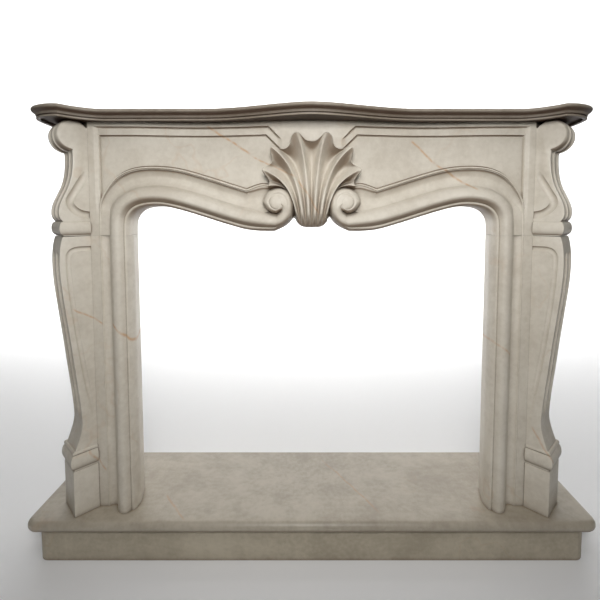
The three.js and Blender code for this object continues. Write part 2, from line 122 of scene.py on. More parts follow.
def inset(line: np.ndarray, distance: float) -> np.ndarray:
    """Move an open plan line sideways with mitred corners; its ends move straight along X."""
    line = np.asarray(line, float)
    run = np.diff(line, axis=0)
    run /= np.linalg.norm(run, axis=1)[:, None]
    mean = run[:-1] + run[1:]
    mean /= np.linalg.norm(mean, axis=1)[:, None]
    mitre = distance / np.maximum((mean * run[:-1]).sum(axis=1), SHARPEST_MITRE)
    out = line.copy()
    out[1:-1] += np.stack([-mean[:, 1], mean[:, 0]], axis=1) * mitre[:, None]
    out[0, 0] -= math.copysign(distance, line[0, 0])
    out[-1, 0] -= math.copysign(distance, line[-1, 0])
    return out


def add_object(name: str, data: bpy.types.ID | None) -> bpy.types.Object:
    """Make an object of some data and link it to the scene."""
    obj = bpy.data.objects.new(name, data)
    bpy.context.scene.collection.objects.link(obj)
    return obj


# Meshes


class Mesher:
    """Turns rings of points in millimetres into finished objects in metres."""

    @staticmethod
    def from_faces(name: str, points: np.ndarray, faces: list, sharp: float) -> bpy.types.Object:
        """Make an object from points in millimetres, closed up and facing outwards."""
        mesh = bpy.data.meshes.new(name)
        mesh.from_pydata((np.asarray(points, float) * MM).tolist(), [], faces)
        work = bmesh.new()
        work.from_mesh(mesh)
        bmesh.ops.remove_doubles(work, verts=work.verts, dist=JOIN_DISTANCE)
        bmesh.ops.recalc_face_normals(work, faces=work.faces)
        work.to_mesh(mesh)
        work.free()
        obj = add_object(name, mesh)
        Mesher.shade(obj, sharp)
        return obj

    @staticmethod
    def shade(obj: bpy.types.Object, sharp: float) -> None:
        """Shade smooth, with edges over an angle in degrees kept sharp."""
        obj.data.shade_smooth()
        obj.data.set_sharp_from_angle(angle=math.radians(sharp))

    @staticmethod
    def loft(name: str, rings: list, sharp: float = SHARP_ANGLE) -> bpy.types.Object:
        """Skin a row of closed rings of equal count and cap both ends."""
        rings = np.asarray(rings, float)
        count, size = rings.shape[:2]
        k, i = np.meshgrid(np.arange(count - 1), np.arange(size), indexing="ij")
        a = k * size + i
        b = k * size + (i + 1) % size
        faces = np.stack([a, b, b + size, a + size], axis=-1).reshape(-1, 4).tolist()
        faces.append(list(range(size))[::-1])
        faces.append([(count - 1) * size + j for j in range(size)])
        return Mesher.from_faces(name, rings.reshape(-1, 3), faces, sharp)

    @staticmethod
    def stack(
        name: str, plans: list, heights: list, sharp: float = SHARP_ANGLE
    ) -> bpy.types.Object:
        """Skin plan outlines, each laid at its height."""
        rings = [np.column_stack([p, np.full(len(p), z)]) for p, z in zip(plans, heights)]
        return Mesher.loft(name, rings, sharp)

    @staticmethod
    def combine(
        obj: bpy.types.Object, others: list, operation: str, sharp: float = SHARP_ANGLE
    ) -> None:
        """Join an object with others (UNION) or cut them away (DIFFERENCE), and drop them."""
        for other in others:
            modifier = obj.modifiers.new("combine", "BOOLEAN")
            modifier.operation = operation
            modifier.solver = "MANIFOLD"
            modifier.object = other
            Mesher.bake(obj)
            bpy.data.objects.remove(other)
        Mesher.shade(obj, sharp)

    @staticmethod
    def bake(obj: bpy.types.Object) -> None:
        """Replace an object's mesh with the result of its modifiers and drop these."""
        graph = bpy.context.evaluated_depsgraph_get()
        graph.update()
        mesh = bpy.data.meshes.new_from_object(obj.evaluated_get(graph))
        obj.modifiers.clear()
        obj.data = mesh

    @staticmethod
    def mirrored(obj: bpy.types.Object, name: str) -> bpy.types.Object:
        """Copy an object to the other side of the middle."""
        mesh = obj.data.copy()
        mesh.name = name
        work = bmesh.new()
        work.from_mesh(mesh)
        for vertex in work.verts:
            vertex.co.x = -vertex.co.x
        bmesh.ops.reverse_faces(work, faces=work.faces)
        work.to_mesh(mesh)
        work.free()
        return add_object(name, mesh)

    @staticmethod
    def both(*lefts: bpy.types.Object) -> list:
        """Left pieces, then their copies on the right."""
        return [*lefts, *(Mesher.mirrored(p, p.name.replace("left", "right")) for p in lefts)]


class RodTree:
    """Geometry Nodes tree that runs a round rod along a path."""

    def __init__(self) -> None:
        """Build the tree with its radius, side count and finish as inputs."""
        tree = bpy.data.node_groups.new("rod_along_path", "GeometryNodeTree")

        def socket(name: str, kind: str, side: str = "INPUT") -> str:
            kind = "NodeSocket" + kind
            return tree.interface.new_socket(name, in_out=side, socket_type=kind).identifier

        socket("Geometry", "Geometry")
        self.radius = socket("Radius", "Float")
        self.sides = socket("Sides", "Int")
        self.finish = socket("Finish", "Material")
        socket("Geometry", "Geometry", "OUTPUT")
        start, circle, sweep, real, dress, end = (tree.nodes.new(kind) for kind in (
            "NodeGroupInput", "GeometryNodeCurvePrimitiveCircle", "GeometryNodeCurveToMesh",
            "GeometryNodeRealizeInstances", "GeometryNodeSetMaterial", "NodeGroupOutput",
        ))
        sweep.inputs["Fill Caps"].default_value = True
        for source, out, target, into in (
            (start, "Radius", circle, "Radius"), (start, "Sides", circle, "Resolution"),
            (start, "Geometry", sweep, "Curve"), (circle, "Curve", sweep, "Profile Curve"),
            (sweep, "Mesh", real, "Geometry"), (real, "Geometry", dress, "Geometry"),
            (start, "Finish", dress, "Material"), (dress, "Geometry", end, "Geometry"),
        ):
            tree.links.new(source.outputs[out], target.inputs[into])
        self.tree = tree

    def rod(
        self, name: str, path: np.ndarray, radius: float, finish: bpy.types.Material | None
    ) -> bpy.types.Object:
        """Run a closed rod along a path in millimetres; a cutter can go without a finish."""
        curve = bpy.data.curves.new(name + "_path", "CURVE")
        curve.dimensions = "3D"
        spline = curve.splines.new("POLY")
        spline.points.add(len(path) - 1)
        for point, place in zip(spline.points, path):
            point.co = (*(float(v) * MM for v in place), 1.0)
        guide = add_object(name + "_path", curve)
        modifier = guide.modifiers.new("rod", "NODES")
        modifier.node_group = self.tree
        modifier[self.radius] = radius * MM
        modifier[self.sides] = ROD_SIDES
        if finish:
            modifier[self.finish] = finish
        graph = bpy.context.evaluated_depsgraph_get()
        graph.update()
        mesh = bpy.data.meshes.new_from_object(guide.evaluated_get(graph))
        guide.modifiers.clear()
        bpy.data.objects.remove(guide)
        obj = add_object(name, mesh)
        Mesher.shade(obj, ROD_SHARP_ANGLE)
        return obj


# Shader maths


class Value:
    """One shader socket, with the operators that the finishes use."""

    def __init__(self, book: "NodeBook", socket: bpy.types.NodeSocket) -> None:
        """Wrap a socket of a tree."""
        self.book = book
        self.socket = socket

    def math(self, operation: str, *others: "Value | float") -> "Value":
        """Add a Math node on this value."""
        settings = {"operation": operation}
        return self.book.node("ShaderNodeMath", settings, [self, *others])

    def __add__(self, other: "Value | float") -> "Value":
        """Sum."""
        return self.math("ADD", other)

    def __sub__(self, other: "Value | float") -> "Value":
        """Difference."""
        return self.math("SUBTRACT", other)

    def __mul__(self, other: "Value | float") -> "Value":
        """Product."""
        return self.math("MULTIPLY", other)

    def __abs__(self) -> "Value":
        """Distance from zero."""
        return self.math("ABSOLUTE")

    def step(self, low: float, high: float, start: float = 0.0, end: float = 1.0) -> "Value":
        """Soft step between two values of the wrapped socket."""
        settings = {"interpolation_type": "SMOOTHSTEP"}
        return self.book.node("ShaderNodeMapRange", settings, [self, low, high, start, end])


class NodeBook:
    """A material's node tree and the one method that adds its nodes."""

    def __init__(self, name: str) -> None:
        """Start an empty material with an output."""
        self.material = bpy.data.materials.new(name)
        self.material.use_nodes = True
        self.tree = self.material.node_tree
        self.tree.nodes.clear()

    def node(self, kind: str, settings: dict, values: "list | dict", out: int | str = 0) -> Value:
        """Add a node and hand back one output.

        Args:
            kind: the node's type.
            settings: its own settings, set first.
            values: numbers, colours or Values of its sockets, by place or by name.
            out: the output to hand back.
        """
        node = self.tree.nodes.new(kind)
        for key, value in settings.items():
            setattr(node, key, value)
        pairs = values.items() if isinstance(values, dict) else enumerate(values)
        for key, value in pairs:
            if isinstance(value, Value):
                self.tree.links.new(value.socket, node.inputs[key])
            elif value is not None:
                node.inputs[key].default_value = value
        return Value(self, node.outputs[out])

    def noise(self, place: Value, scale: float, detail: float, rough: float = 0.55) -> Value:
        """Fractal noise on a place."""
        sockets = {"Vector": place, "Scale": scale, "Detail": detail, "Roughness": rough}
        return self.node("ShaderNodeTexNoise", {}, sockets, "Fac")

    def mix(self, amount: Value, first: "Value | tuple", second: "Value | tuple") -> Value:
        """Blend two colours."""
        settings = {"data_type": "RGBA", "clamp_factor": True}
        return self.node("ShaderNodeMix", settings, {0: amount, 6: first, 7: second}, 2)

    def vector(
        self, operation: str, *values: "Value | tuple | float", out: int | str = 0
    ) -> Value:
        """Vector Math node."""
        return self.node("ShaderNodeVectorMath", {"operation": operation}, list(values), out)

    def swayed(self, place: Value, sway: Value, reach: float) -> Value:
        """Place pushed about by a noise colour, by half the reach at most."""
        bend = self.vector("MULTIPLY_ADD", sway, (reach,) * 3, (-reach / 2,) * 3)
        return self.vector("ADD", place, bend)

    def surface(self, sockets: dict) -> None:
        """Add the shader with these sockets and tie it to the output."""
        shader = self.node("ShaderNodeBsdfPrincipled", {}, sockets)
        output = self.tree.nodes.new("ShaderNodeOutputMaterial")
        self.tree.links.new(shader.socket, output.inputs["Surface"])


@dataclass(frozen=True)
class Vein:
    """One rust vein: the wavy sheet of stain that crosses the stone near a place, in metres."""

    start: Place
    end: Place
    width: float
    strength: float
    through: Place = (0, 1, 0)


@dataclass(frozen=True)
class MarbleFinish:
    """Honed marble: cloudy tone, hairlines, rust veins, and painted shade in the hollows and on the
    undersides.
    """

    name: str
    pale: Colour
    deep: Colour
    rust: Colour
    roughness: float
    veins: tuple[Vein, ...] = ()
    shade_colour: Colour = (0.13, 0.075, 0.035)  # colour of the painted shade in hollows and on undersides
    hollow_shade: float = 0.6  # share of painted shade in hollows
    underside_shade: float = 0.8  # share of painted shade on undersides
    reach: float = 0.014  # how far the painted shade in a hollow looks for walls, in metres
    hair_strength: float = 0.14
    hair_sway: float = 0.07
    vein_sway: float = 0.024

    def build(self) -> bpy.types.Material:
        """Build the material."""
        book = NodeBook(self.name)
        place = book.node("ShaderNodeTexCoord", {}, [], "Object")
        clouds = book.noise(place, 5.0, 6.0, 0.6)
        grain = book.noise(place, 90.0, 4.0, 0.6)
        patches = book.noise(place, 22.0, 5.0, 0.65)
        tone = (clouds - 0.5) * 1.6 + (patches - 0.5) * 1.1 + (grain - 0.5) * 0.7 + 0.45
        colour = book.mix(tone.step(0.0, 1.0), (*self.pale, 1), (*self.deep, 1))
        colour = book.mix(self.stain(book, place), colour, (*self.rust, 1))
        # Painted shade: the hollows and the undersides darken to brown.
        colour = self.painted_shade(book, colour)
        height = grain * 0.6 + patches * 0.4
        bump = {"Strength": 0.12, "Distance": MM, "Height": height}
        book.surface({
            "Base Color": colour,
            "Roughness": (patches - 0.5) * 0.12 + (grain - 0.5) * 0.1 + self.roughness,
            "Normal": book.node("ShaderNodeBump", {}, bump),
            "IOR": 1.49,
        })
        return book.material

    def stain(self, book: NodeBook, place: Value) -> Value:
        """Share of rust from the hairlines and the veins."""
        sockets = {"Vector": place, "Scale": 9.0, "Detail": 4.0}
        sway = book.node("ShaderNodeTexNoise", {}, sockets, "Color")
        wavy = book.swayed(place, sway, self.hair_sway)
        hair = abs(book.noise(wavy, 4.5, 3.0, 0.5) - 0.5).step(0.0, 0.012, 1.0, 0.0)
        stain = hair * book.noise(place, 3.1, 2.0).step(0.48, 0.62) * self.hair_strength
        near = book.swayed(place, sway, self.vein_sway)
        for vein in self.veins:
            stain = stain + self.vein(book, place, near, vein)
        return stain

    def painted_shade(self, book: NodeBook, colour: Value) -> Value:
        """Colour with painted shade: brown darkening in the hollows and on the undersides."""
        sockets = {"Distance": self.reach}
        # Painted shade in the hollows, from ambient occlusion.
        clear = book.node("ShaderNodeAmbientOcclusion", {"samples": 8}, sockets, "AO")
        shade_colour = (*self.shade_colour, 1)
        colour = book.mix(clear.step(0.25, 0.9, self.hollow_shade, 0.0), colour, shade_colour)
        # Painted shade on faces that look down.
        facing = book.node("ShaderNodeNewGeometry", {}, [], "Normal")
        lean = book.vector("DOT_PRODUCT", facing, (0.0, 0.0, -1.0), out="Value")
        return book.mix(lean.step(0.0, 0.8, 0.0, self.underside_shade), colour, shade_colour)

    @staticmethod
    def vein(book: NodeBook, place: Value, wavy: Value, vein: Vein) -> Value:
        """Stain of one vein, as a value from 0 to 1."""
        start, end = Vector(vein.start), Vector(vein.end)
        run = (end - start).normalized()
        across = run.cross(Vector(vein.through)).normalized()
        middle = (start + end) / 2
        half = (end - start).length / 2
        offset = book.vector("DOT_PRODUCT", wavy, tuple(across), out="Value") - across.dot(middle)
        along = book.vector("DOT_PRODUCT", place, tuple(run), out="Value") - run.dot(middle)
        broken = book.noise(place, 60.0, 3.0).step(0.3, 0.6, 0.35, 1.0)
        core = abs(offset).step(0.0, vein.width, 1.0, 0.0)
        ends = abs(along).step(half * 0.75, half, 1.0, 0.0)
        return core * ends * broken * vein.strength


class Side(Enum):
    """The two sides of a mirrored piece."""

    LEFT = "left"
    RIGHT = "right"


# Object sizes


@dataclass(frozen=True)
class Levels:
    """Heights, depths and places across that the pieces share."""

    wall: float = 183
    plinth_top: float = 88
    hearth_top: float = 116
    joint: float = 862  # between jamb and frieze
    frieze_top: float = 1158
    shelf_top: float = 1179
    gap: float = 0.3  # width of a joint
    face: float = -65  # front at the ends
    back: float = 7  # rear of the slabs
    bow: float = 16  # swell of the frieze to the front
    opening_x: float = 478
    seam_x: float = 584  # beside the console
    end_x: float = 630
    bead_x: float = 561  # outer edge of the moulding
    splay: float = 12  # how far the opening widens to the back

    def face_at(self, x: np.ndarray) -> np.ndarray:
        """Depth of the serpentine frieze face at a place across."""
        share = np.minimum(np.abs(x) / self.opening_x, 1)
        return self.face - self.bow * np.cos(1.5 * np.pi * share) * np.sqrt(1 - share * share)


LEVELS = Levels()


@dataclass(frozen=True)
class Moulding:
    """Bolection moulding, by share of its width and height proud of the face."""

    quirk: float = 2.1  # radius of the groove beside the bead
    rod: float = 2.5  # radius of the bead
    roll_start: float = 0.36  # share of the width
    roll_max: float = 58  # largest width of the roll
    fillet_start: float = 0.795  # share of the roll's width

    def bead(self) -> Pairs:
        """Soft outer bead, from behind the field to the foot of the cove."""
        soft = [(0.012, 1.2), (0.03, 1.8), (0.048, 1.3), (0.06, 0.1), (0.068, -1.4)]
        return [(0, -9), (0, 0.2), *soft]

    def cove(self) -> Pairs:
        """Hollow between the bead and the roll."""
        keys = [(0.07, -1.8), (0.12, -4.4), (0.2, -6.6), (0.28, -5.2), (0.35, 1.5), (0.42, 12)]
        at = np.linspace(keys[0][0], keys[-1][0], 16)
        return list(zip(at, eased(keys, at)))

    def roll(self, share: np.ndarray) -> np.ndarray:
        """Height of the roll and the fillet by its bottom edge, over the roll's own width."""
        valley = (self.fillet_start, 16)
        top = [
            (0, 3), (0.1, 15.5), (0.22, 23.5), (0.36, 28.5), (0.5, 30), (0.62, 28), (0.73, 21.5),
            valley,
        ]
        fillet = [
            valley, (0.82, 17.2), (0.86, 17.4), (0.91, 16), (0.95, 12.6), (0.98, 7.8), (1, 2),
        ]
        return np.where(share < self.fillet_start, eased(top, share), eased(fillet, share))

    def roll_shares(self) -> np.ndarray:
        """Places across the roll where its section is read."""
        start = self.fillet_start
        return np.concatenate([np.linspace(0, start, 22), np.linspace(start + 0.01, 1, 11)])


@dataclass(frozen=True)
class Jamb:
    """Upright slab beside the opening, with the moulding run straight up it."""

    swell: float = 2

    def outline(self) -> np.ndarray:
        """Section of the left jamb in plan."""
        lv, moulding = LEVELS, Moulding()
        start = moulding.roll_start
        line: Pairs = [(-lv.seam_x, lv.face)]
        shares = moulding.roll_shares()
        section = moulding.bead()[1:] + [p for p in moulding.cove() if p[0] < start]
        section += list(zip(start + (1 - start) * shares, moulding.roll(shares)))
        for a, d in section:
            line.append((-lv.bead_x + (lv.bead_x - lv.opening_x) * a, lv.face - d))
        deep = np.linspace(0.05, 1, 12)
        reveal = eased([(0, 0), (0.15, self.swell), (0.45, -2), (1, -lv.splay)], deep)
        for t, out in zip(deep, reveal):
            line.append((-lv.opening_x + out, lv.face + (lv.back - lv.face) * t))
        line += [(-lv.end_x, lv.back), (-lv.end_x, lv.face + lv.end_x - lv.seam_x)]
        return np.array(line)

    def build(self) -> bpy.types.Object:
        """Build the left jamb."""
        plan = self.outline()
        heights = [LEVELS.hearth_top + LEVELS.gap, LEVELS.joint]
        return Mesher.stack("jamb_stone_left", [plan, plan], heights, 28)


@dataclass(frozen=True)
class Frieze:
    """Slab over the opening with its sunk panels, swept moulding, volutes and shell."""

    panel_outer: Place = (569, 1146, 113)  # side, top and cut corner
    panel_inner: Place = (557.5, 1124.5, 118)
    corner: float = 60
    end_slope: float = 0.16  # of the outer step at the panel's ends
    eye: tuple[float, float] = (-86, 948.5)  # centre of the left volute

    OUTER = (
        (-561, 862.3), (-559.5, 916), (-555, 951), (-538, 984), (-508, 1018), (-464, 1037.5),
        (-408, 1042), (-349, 1036), (-283, 1018), (-226, 1000), (-172, 983), (-130, 996), (-98, 990),
    )
    INNER = (
        (-478, 862.3), (-477, 892), (-472, 910), (-460, 925.5), (-441, 935), (-414, 939),
        (-381, 937), (-341, 927.5), (-287, 911), (-226, 892), (-165, 876.5), (-107, 877), (-78, 896),
    )
    SPIRAL = (
        (-104, 77), (-92, 71), (-80, 65), (-70, 60.5), (-59, 56.5), (-45, 52), (-30, 47), (0, 42),
        (45, 39), (90, 38), (150, 41), (180, 42), (205, 36.5), (257, 30.5), (297, 21),
    )
    ANGLES = (
        -104, -92, -80, -70, -60, -47, -35, -10, 15, 45, 75, 105, 135, 160, 180, 205, 230, 257, 280,
        297,
    )
    DOME = (
        (0, 14), (0.1, 21), (0.25, 27), (0.45, 30.5), (0.65, 29), (0.82, 22), (0.93, 12), (1, 2),
    )
    DISC = (
        (0, 37), (0.3, 36), (0.42, 35), (0.55, 35.6), (0.72, 33), (0.86, 26), (0.95, 14), (1, 2),
    )
    TURN = 10
    SHARE = 8

    def stations(self) -> tuple[np.ndarray, np.ndarray]:
        """Outer and inner points of the moulding from the joint to the volute."""
        turn, share = self.TURN, self.SHARE
        first = catmull(self.OUTER[: turn + 1], turn * share)
        second = catmull(self.OUTER[turn:], (len(self.OUTER) - 1 - turn) * share)
        inner = catmull(self.INNER, share * (len(self.INNER) - 1))
        return np.concatenate([first, second[1:]]), inner

    def slab(self) -> bpy.types.Object:
        """Slab with its bowed face and the sunk panels."""
        lv = LEVELS
        half = np.concatenate([
            np.arange(0, 62, 4), np.arange(62, 130, 1.5), np.arange(554, 582, 1.0),
            np.arange(130, 554, 7), [584, 600, 615, lv.end_x],
        ])
        xs = np.unique(np.concatenate([-half, half]))
        low, high = lv.joint + lv.gap, lv.frieze_top - lv.gap
        zs = np.concatenate([
            [low], np.arange(880, 1060, 12), np.arange(1060, 1112, 1.5),
            np.arange(1112, 1128, 0.8), np.arange(1128, 1141, 3), np.arange(1141, 1148, 0.8),
            [1152, 1155, high],
        ])
        x, z = np.meshgrid(xs, zs, indexing="ij")
        front = lv.face_at(x) + np.maximum(np.abs(x) - lv.seam_x, 0) + self.sunk(np.abs(x), z)
        rings = []
        for i, place in enumerate(xs):
            line = [(place, y, h) for y, h in zip(front[i], zs)]
            rings.append(line + [(place, lv.back, high), (place, lv.back, low)])
        return Mesher.loft("frieze_stone", rings)

    def sunk(self, x: np.ndarray, z: np.ndarray) -> np.ndarray:
        """Depth of the panel's two steps behind the face, with a groove along each edge."""
        def inside(outline: Place, gentle: float = 1) -> np.ndarray:
            side, top, corner = outline
            slant = (x - corner + top - z) / math.sqrt(2)
            edge = np.minimum(np.minimum((side - x) * gentle, top - z), slant)
            return np.minimum(edge, x - corner + self.corner)
        outer, inner = inside(self.panel_outer, self.end_slope), inside(self.panel_inner)
        level = np.where(self.panel_inner[0] - x > self.panel_inner[1] - z, 1.0, 0.35)
        band = ramp(outer / 1.6) * (4.6 + 2.4 * level * ramp((4.6 - outer) / 2.2))
        band = band - 1.6 * np.clip((outer - 2.4) / 11, 0, 1)
        field = ramp(inner / 1.2) * (4.2 + 3 * level * ramp((4.2 - inner) / 2.2))
        beside_shell, above_joint = ramp((x - 76) / 14), ramp((z - 905) / 60)
        return (band + field) * beside_shell * above_joint

    def cove(self) -> bpy.types.Object:
        """Bead and cove of the left moulding, from the joint to the volute."""
        lv, moulding = LEVELS, Moulding()
        outer, inner = self.stations()
        section = moulding.bead() + moulding.cove() + [(0.42, -30), (0, -30)]
        rings = []
        for o, i in zip(outer, inner):
            width = np.linalg.norm(o - i)
            start = 1 - min((1 - moulding.roll_start) * width, moulding.roll_max) / width
            ring = []
            for a, d in section:
                f = start * a / moulding.roll_start
                x, z = o + (i - o) * f
                ring.append((x, lv.face_at(x) - d, z))
            rings.append(ring)
        return Mesher.loft("cove_left", rings, 28)

    def roll_lines(self) -> tuple[np.ndarray, np.ndarray, np.ndarray]:
        """Groove line, edge line and share of the volute along the roll."""
        moulding = Moulding()
        groove, edge = [], []
        straight = self.TURN + 1
        for o, i in zip(np.array(self.OUTER)[:straight], np.array(self.INNER)[:straight]):
            width = np.linalg.norm(o - i)
            reach = min((1 - moulding.roll_start) * width, moulding.roll_max)
            groove.append(i + (o - i) * reach / width)
            edge.append(i)
        angles = np.array(self.ANGLES)
        outer = eased(self.SPIRAL, angles)
        progress = (angles - angles[0]) / (angles[-1] - angles[0])
        inner = eased([(-104, 29), (-80, 25.5), (-60, 19), (-35, 10), (297, 8)], angles)
        turn = np.column_stack([np.cos(np.radians(angles)), np.sin(np.radians(angles))])
        groove = np.concatenate([groove, np.array(self.eye) + turn * inner[:, None]])
        edge = np.concatenate([edge, np.array(self.eye) + turn * outer[:, None]])
        share = np.concatenate([np.zeros(straight), progress])
        blend = np.concatenate([np.zeros(straight), [0.35, 0.7], np.ones(len(angles) - 2)])
        keys = np.column_stack([groove, edge, share, blend])
        fine = catmull(keys, self.SHARE * (len(keys) - 1))
        return fine[:, :2], fine[:, 2:4], np.clip(fine[:, 4:], 0, 1)

    def roll(self) -> bpy.types.Object:
        """Roll of the left moulding, run on round the volute."""
        lv, moulding = LEVELS, Moulding()
        groove, edge, shares = self.roll_lines()
        at = moulding.roll_shares()
        straight = moulding.roll(at)
        dome, disc = eased(self.DOME, at), eased(self.DISC, at)
        rings = []
        for g, e, (progress, blend) in zip(groove, edge, shares):
            wound = ramp(progress / 0.2)
            height = straight * (1 - blend) + (dome * (1 - wound) + disc * wound) * blend
            points = g + (e - g) * at[:, None]
            ring = [(x, lv.face_at(x) - d, z) for (x, z), d in zip(points, height)]
            out = 1 + (1 - blend) * lv.splay / lv.opening_x
            ring += [(e[0] * out, lv.back, e[1]), (g[0], lv.back, g[1])]
            rings.append(ring)
        return Mesher.loft("roll_left", rings, 40)

    def bead_line(self, along: float, proud: float, sunk: bool = False) -> np.ndarray:
        """Line beside the outer edge of the moulding, from the joint to the shell.

        Near the joint the bead sinks into the stone, and the grooves run out.

        Args:
            along: distance inwards from the edge.
            proud: height over the face.
            sunk: follows the panel's sunk field.
        """
        outer, inner = self.stations()
        toward = inner - outer
        toward /= np.linalg.norm(toward, axis=1)[:, None]
        place = outer + toward * along
        field = self.sunk(np.abs(place[:, 0]), place[:, 1]) * sunk
        crisp = ramp((outer[:, 1] - 905) / 55)
        away = 1.5 if proud > 0 else -3.2
        depth = LEVELS.face_at(place[:, 0]) + field - proud * crisp + away * (1 - crisp)
        return np.column_stack([place[:, 0], depth, place[:, 1]])

    def eye_disc(self) -> bpy.types.Object:
        """Round boss at the heart of the left volute."""
        profile = [(23, 15), (22.6, 28), (21, 33), (18, 35.8), (14, 36.6), (9, 37.4), (3, 37.8)]
        face = LEVELS.face_at(self.eye[0])
        turn = np.radians(np.arange(0, 360, 7.5))
        x, z = self.eye
        rings = [np.column_stack([
            x + r * np.cos(turn), np.full(len(turn), face - d), z + r * np.sin(turn),
        ]) for r, d in profile]
        return Mesher.loft("eye_left", rings, 40)

    def opening(self) -> bpy.types.Object:
        """Cutter for the opening, up to the middle of the roll and under the shell."""
        lv = LEVELS
        outer, inner = self.stations()
        share = 0.62 + 0.2 * ramp((outer[:, :1] + 210) / 60)
        middle = outer + (inner - outer) * share
        drop = np.array([(-78, 902), (-60, 912), (-52, 919), (-45, 919), (-38, 906), (-28, 892)])
        left = np.concatenate([[[middle[0][0], lv.joint - 20]], middle, drop])
        line = np.concatenate([left, left[::-1] * (-1, 1)])
        rings = [
            np.column_stack([line[:, 0], np.full(len(line), y), line[:, 1]])
            for y in (-lv.wall, lv.wall)
        ]
        return Mesher.loft("opening_cutter", rings)

    def build(self, rods: RodTree, finish: bpy.types.Material) -> bpy.types.Object:
        """Build the whole frieze in one, with rods for the bead and the quirks beside it."""
        moulding = Moulding()
        slab = self.slab()
        quirk = rods.rod("quirk_left", self.bead_line(-1.6, 0, True), moulding.quirk, finish)
        Mesher.combine(slab, [self.opening(), *Mesher.both(quirk)], "DIFFERENCE")
        bead = rods.rod("bead_left", self.bead_line(2.6, 1.2), moulding.rod, finish)
        carved = Mesher.both(self.cove(), self.roll(), self.eye_disc(), bead)
        Mesher.combine(slab, carved, "UNION", 34)
        quirk = rods.rod("quirk_left", self.bead_line(6.6, -0.8), moulding.quirk, finish)
        Mesher.combine(slab, Mesher.both(quirk), "DIFFERENCE")
        Mesher.combine(slab, [Shell().build()], "UNION", 34)
        return slab


@dataclass(frozen=True)
class Shell:
    """Fluted shell over the middle of the opening.

    The tables give heights by the share of the way up, and the rim's place by its spread.
    """

    foot: float = 884
    columns: int = 190
    rows: int = 44
    lip: float = 5
    spread: float = 1.5

    RIDGE = (
        (0, 2), (0.03, 16), (0.08, 29), (0.15, 37), (0.28, 38), (0.45, 32), (0.6, 28), (0.75, 34),
        (0.9, 46), (1, 53),
    )
    FLUTE = (
        (0, 1), (0.08, 9), (0.2, 13), (0.4, 13), (0.6, 19), (0.78, 30), (0.88, 33), (0.95, 27),
        (1, 17),
    )
    RIM = (
        (0, 0, 1098), (0.06, 12.5, 1100), (0.12, 24, 1109), (0.16, 29.5, 1114), (0.2, 36.5, 1116.5),
        (0.24, 43.5, 1114.5), (0.275, 50, 1106), (0.31, 53, 1093), (0.35, 61, 1083), (0.4, 72, 1080),
        (0.5, 86, 1082), (0.57, 95, 1083), (0.61, 100, 1081), (0.65, 101.5, 1075), (0.7, 99.5, 1063),
        (0.76, 98, 1053), (0.82, 102, 1044), (0.9, 112, 1037), (0.96, 119, 1032), (1, 121.5, 1027),
        (1.08, 113, 1014), (1.16, 107, 1004), (1.25, 104.5, 998), (1.34, 106, 993), (1.4, 108, 988),
        (1.5, 104, 980),
    )

    def rim(self, spread: np.ndarray) -> tuple[np.ndarray, np.ndarray]:
        """Place of the rim for a spread from the middle to either side."""
        at, xs, zs = np.array(self.RIM, float).T
        x = eased(list(zip(at, xs)), np.abs(spread)) * np.sign(spread)
        return x, eased(list(zip(at, zs)), np.abs(spread))

    @staticmethod
    def scoop(spread: np.ndarray, t: np.ndarray) -> np.ndarray:
        """Share of the flute's depth: narrow grooves at the foot, wide scoops at the rim."""
        lobe = np.abs(np.sin(np.pi * (np.clip(spread, -1.4, 1.4) + 1) * 2.5))
        return lobe ** (1.5 + 1.7 * (1 - ramp(t / 0.75)))

    def build(self) -> bpy.types.Object:
        """Build the shell as one closed shape, with its lip turned over."""
        lv = LEVELS
        across = np.linspace(-self.spread, self.spread, self.columns + 1)
        spread, t = np.meshgrid(across, np.linspace(0, 1, self.rows + 1), indexing="ij")
        x, z = self.rim(spread)
        flute = self.scoop(spread, t)
        main = np.clip(spread, -1, 1)
        fold = np.clip((np.abs(spread) - 1) / 0.5, 0, 1)
        over = np.clip((np.abs(spread) - 1.4) / 0.1, 0, 1)
        side = np.sign(spread)
        p0 = (35 * main + 5 * side * fold, self.foot + 9 * main ** 4 + 6 * fold)
        p1 = (44 * main + 3 * side * fold, self.foot + 85 + 0 * spread)
        p2 = (70 * main - 9 * side * fold, self.foot + 177 - 52 * main ** 2 - 14 * fold)
        u = 1 - t
        px, pz = (
            a * u ** 3 + 3 * b * t * u * u + 3 * c * t * t * u + d * t ** 3
            for a, b, c, d in zip(p0, p1, p2, (x, z))
        )
        height = eased(self.RIDGE, t) - eased(self.FLUTE, t) * flute
        height = height * (1 - 0.3 * fold)
        height = np.maximum(height * (1 - over) + 4 * over, 2)
        front = np.stack([px, lv.face_at(px) - height, pz], axis=-1)
        edge = front[:, -1]
        run = front[:, -1] - front[:, -4]
        run[:, 1] = 0
        run /= np.linalg.norm(run, axis=1)[:, None]
        lips = [
            edge + run * self.lip * out + np.array([0, self.lip * down, 0])
            for out, down in ((0.3, 0.15), (0.5, 0.5), (0.35, 1.1))
        ]
        wall = edge + run * self.lip * -0.2
        back = wall.copy()
        wall[:, 1] = lv.face_at(wall[:, 0]) + 2
        back[:, 1] = lv.back
        base = front[:, 0].copy()
        base[:, 1] = lv.back
        rings = [
            np.concatenate([line, ends])
            for line, ends in zip(front, np.stack([*lips, wall, back, base], axis=1))
        ]
        return Mesher.loft("shell", rings, 50)


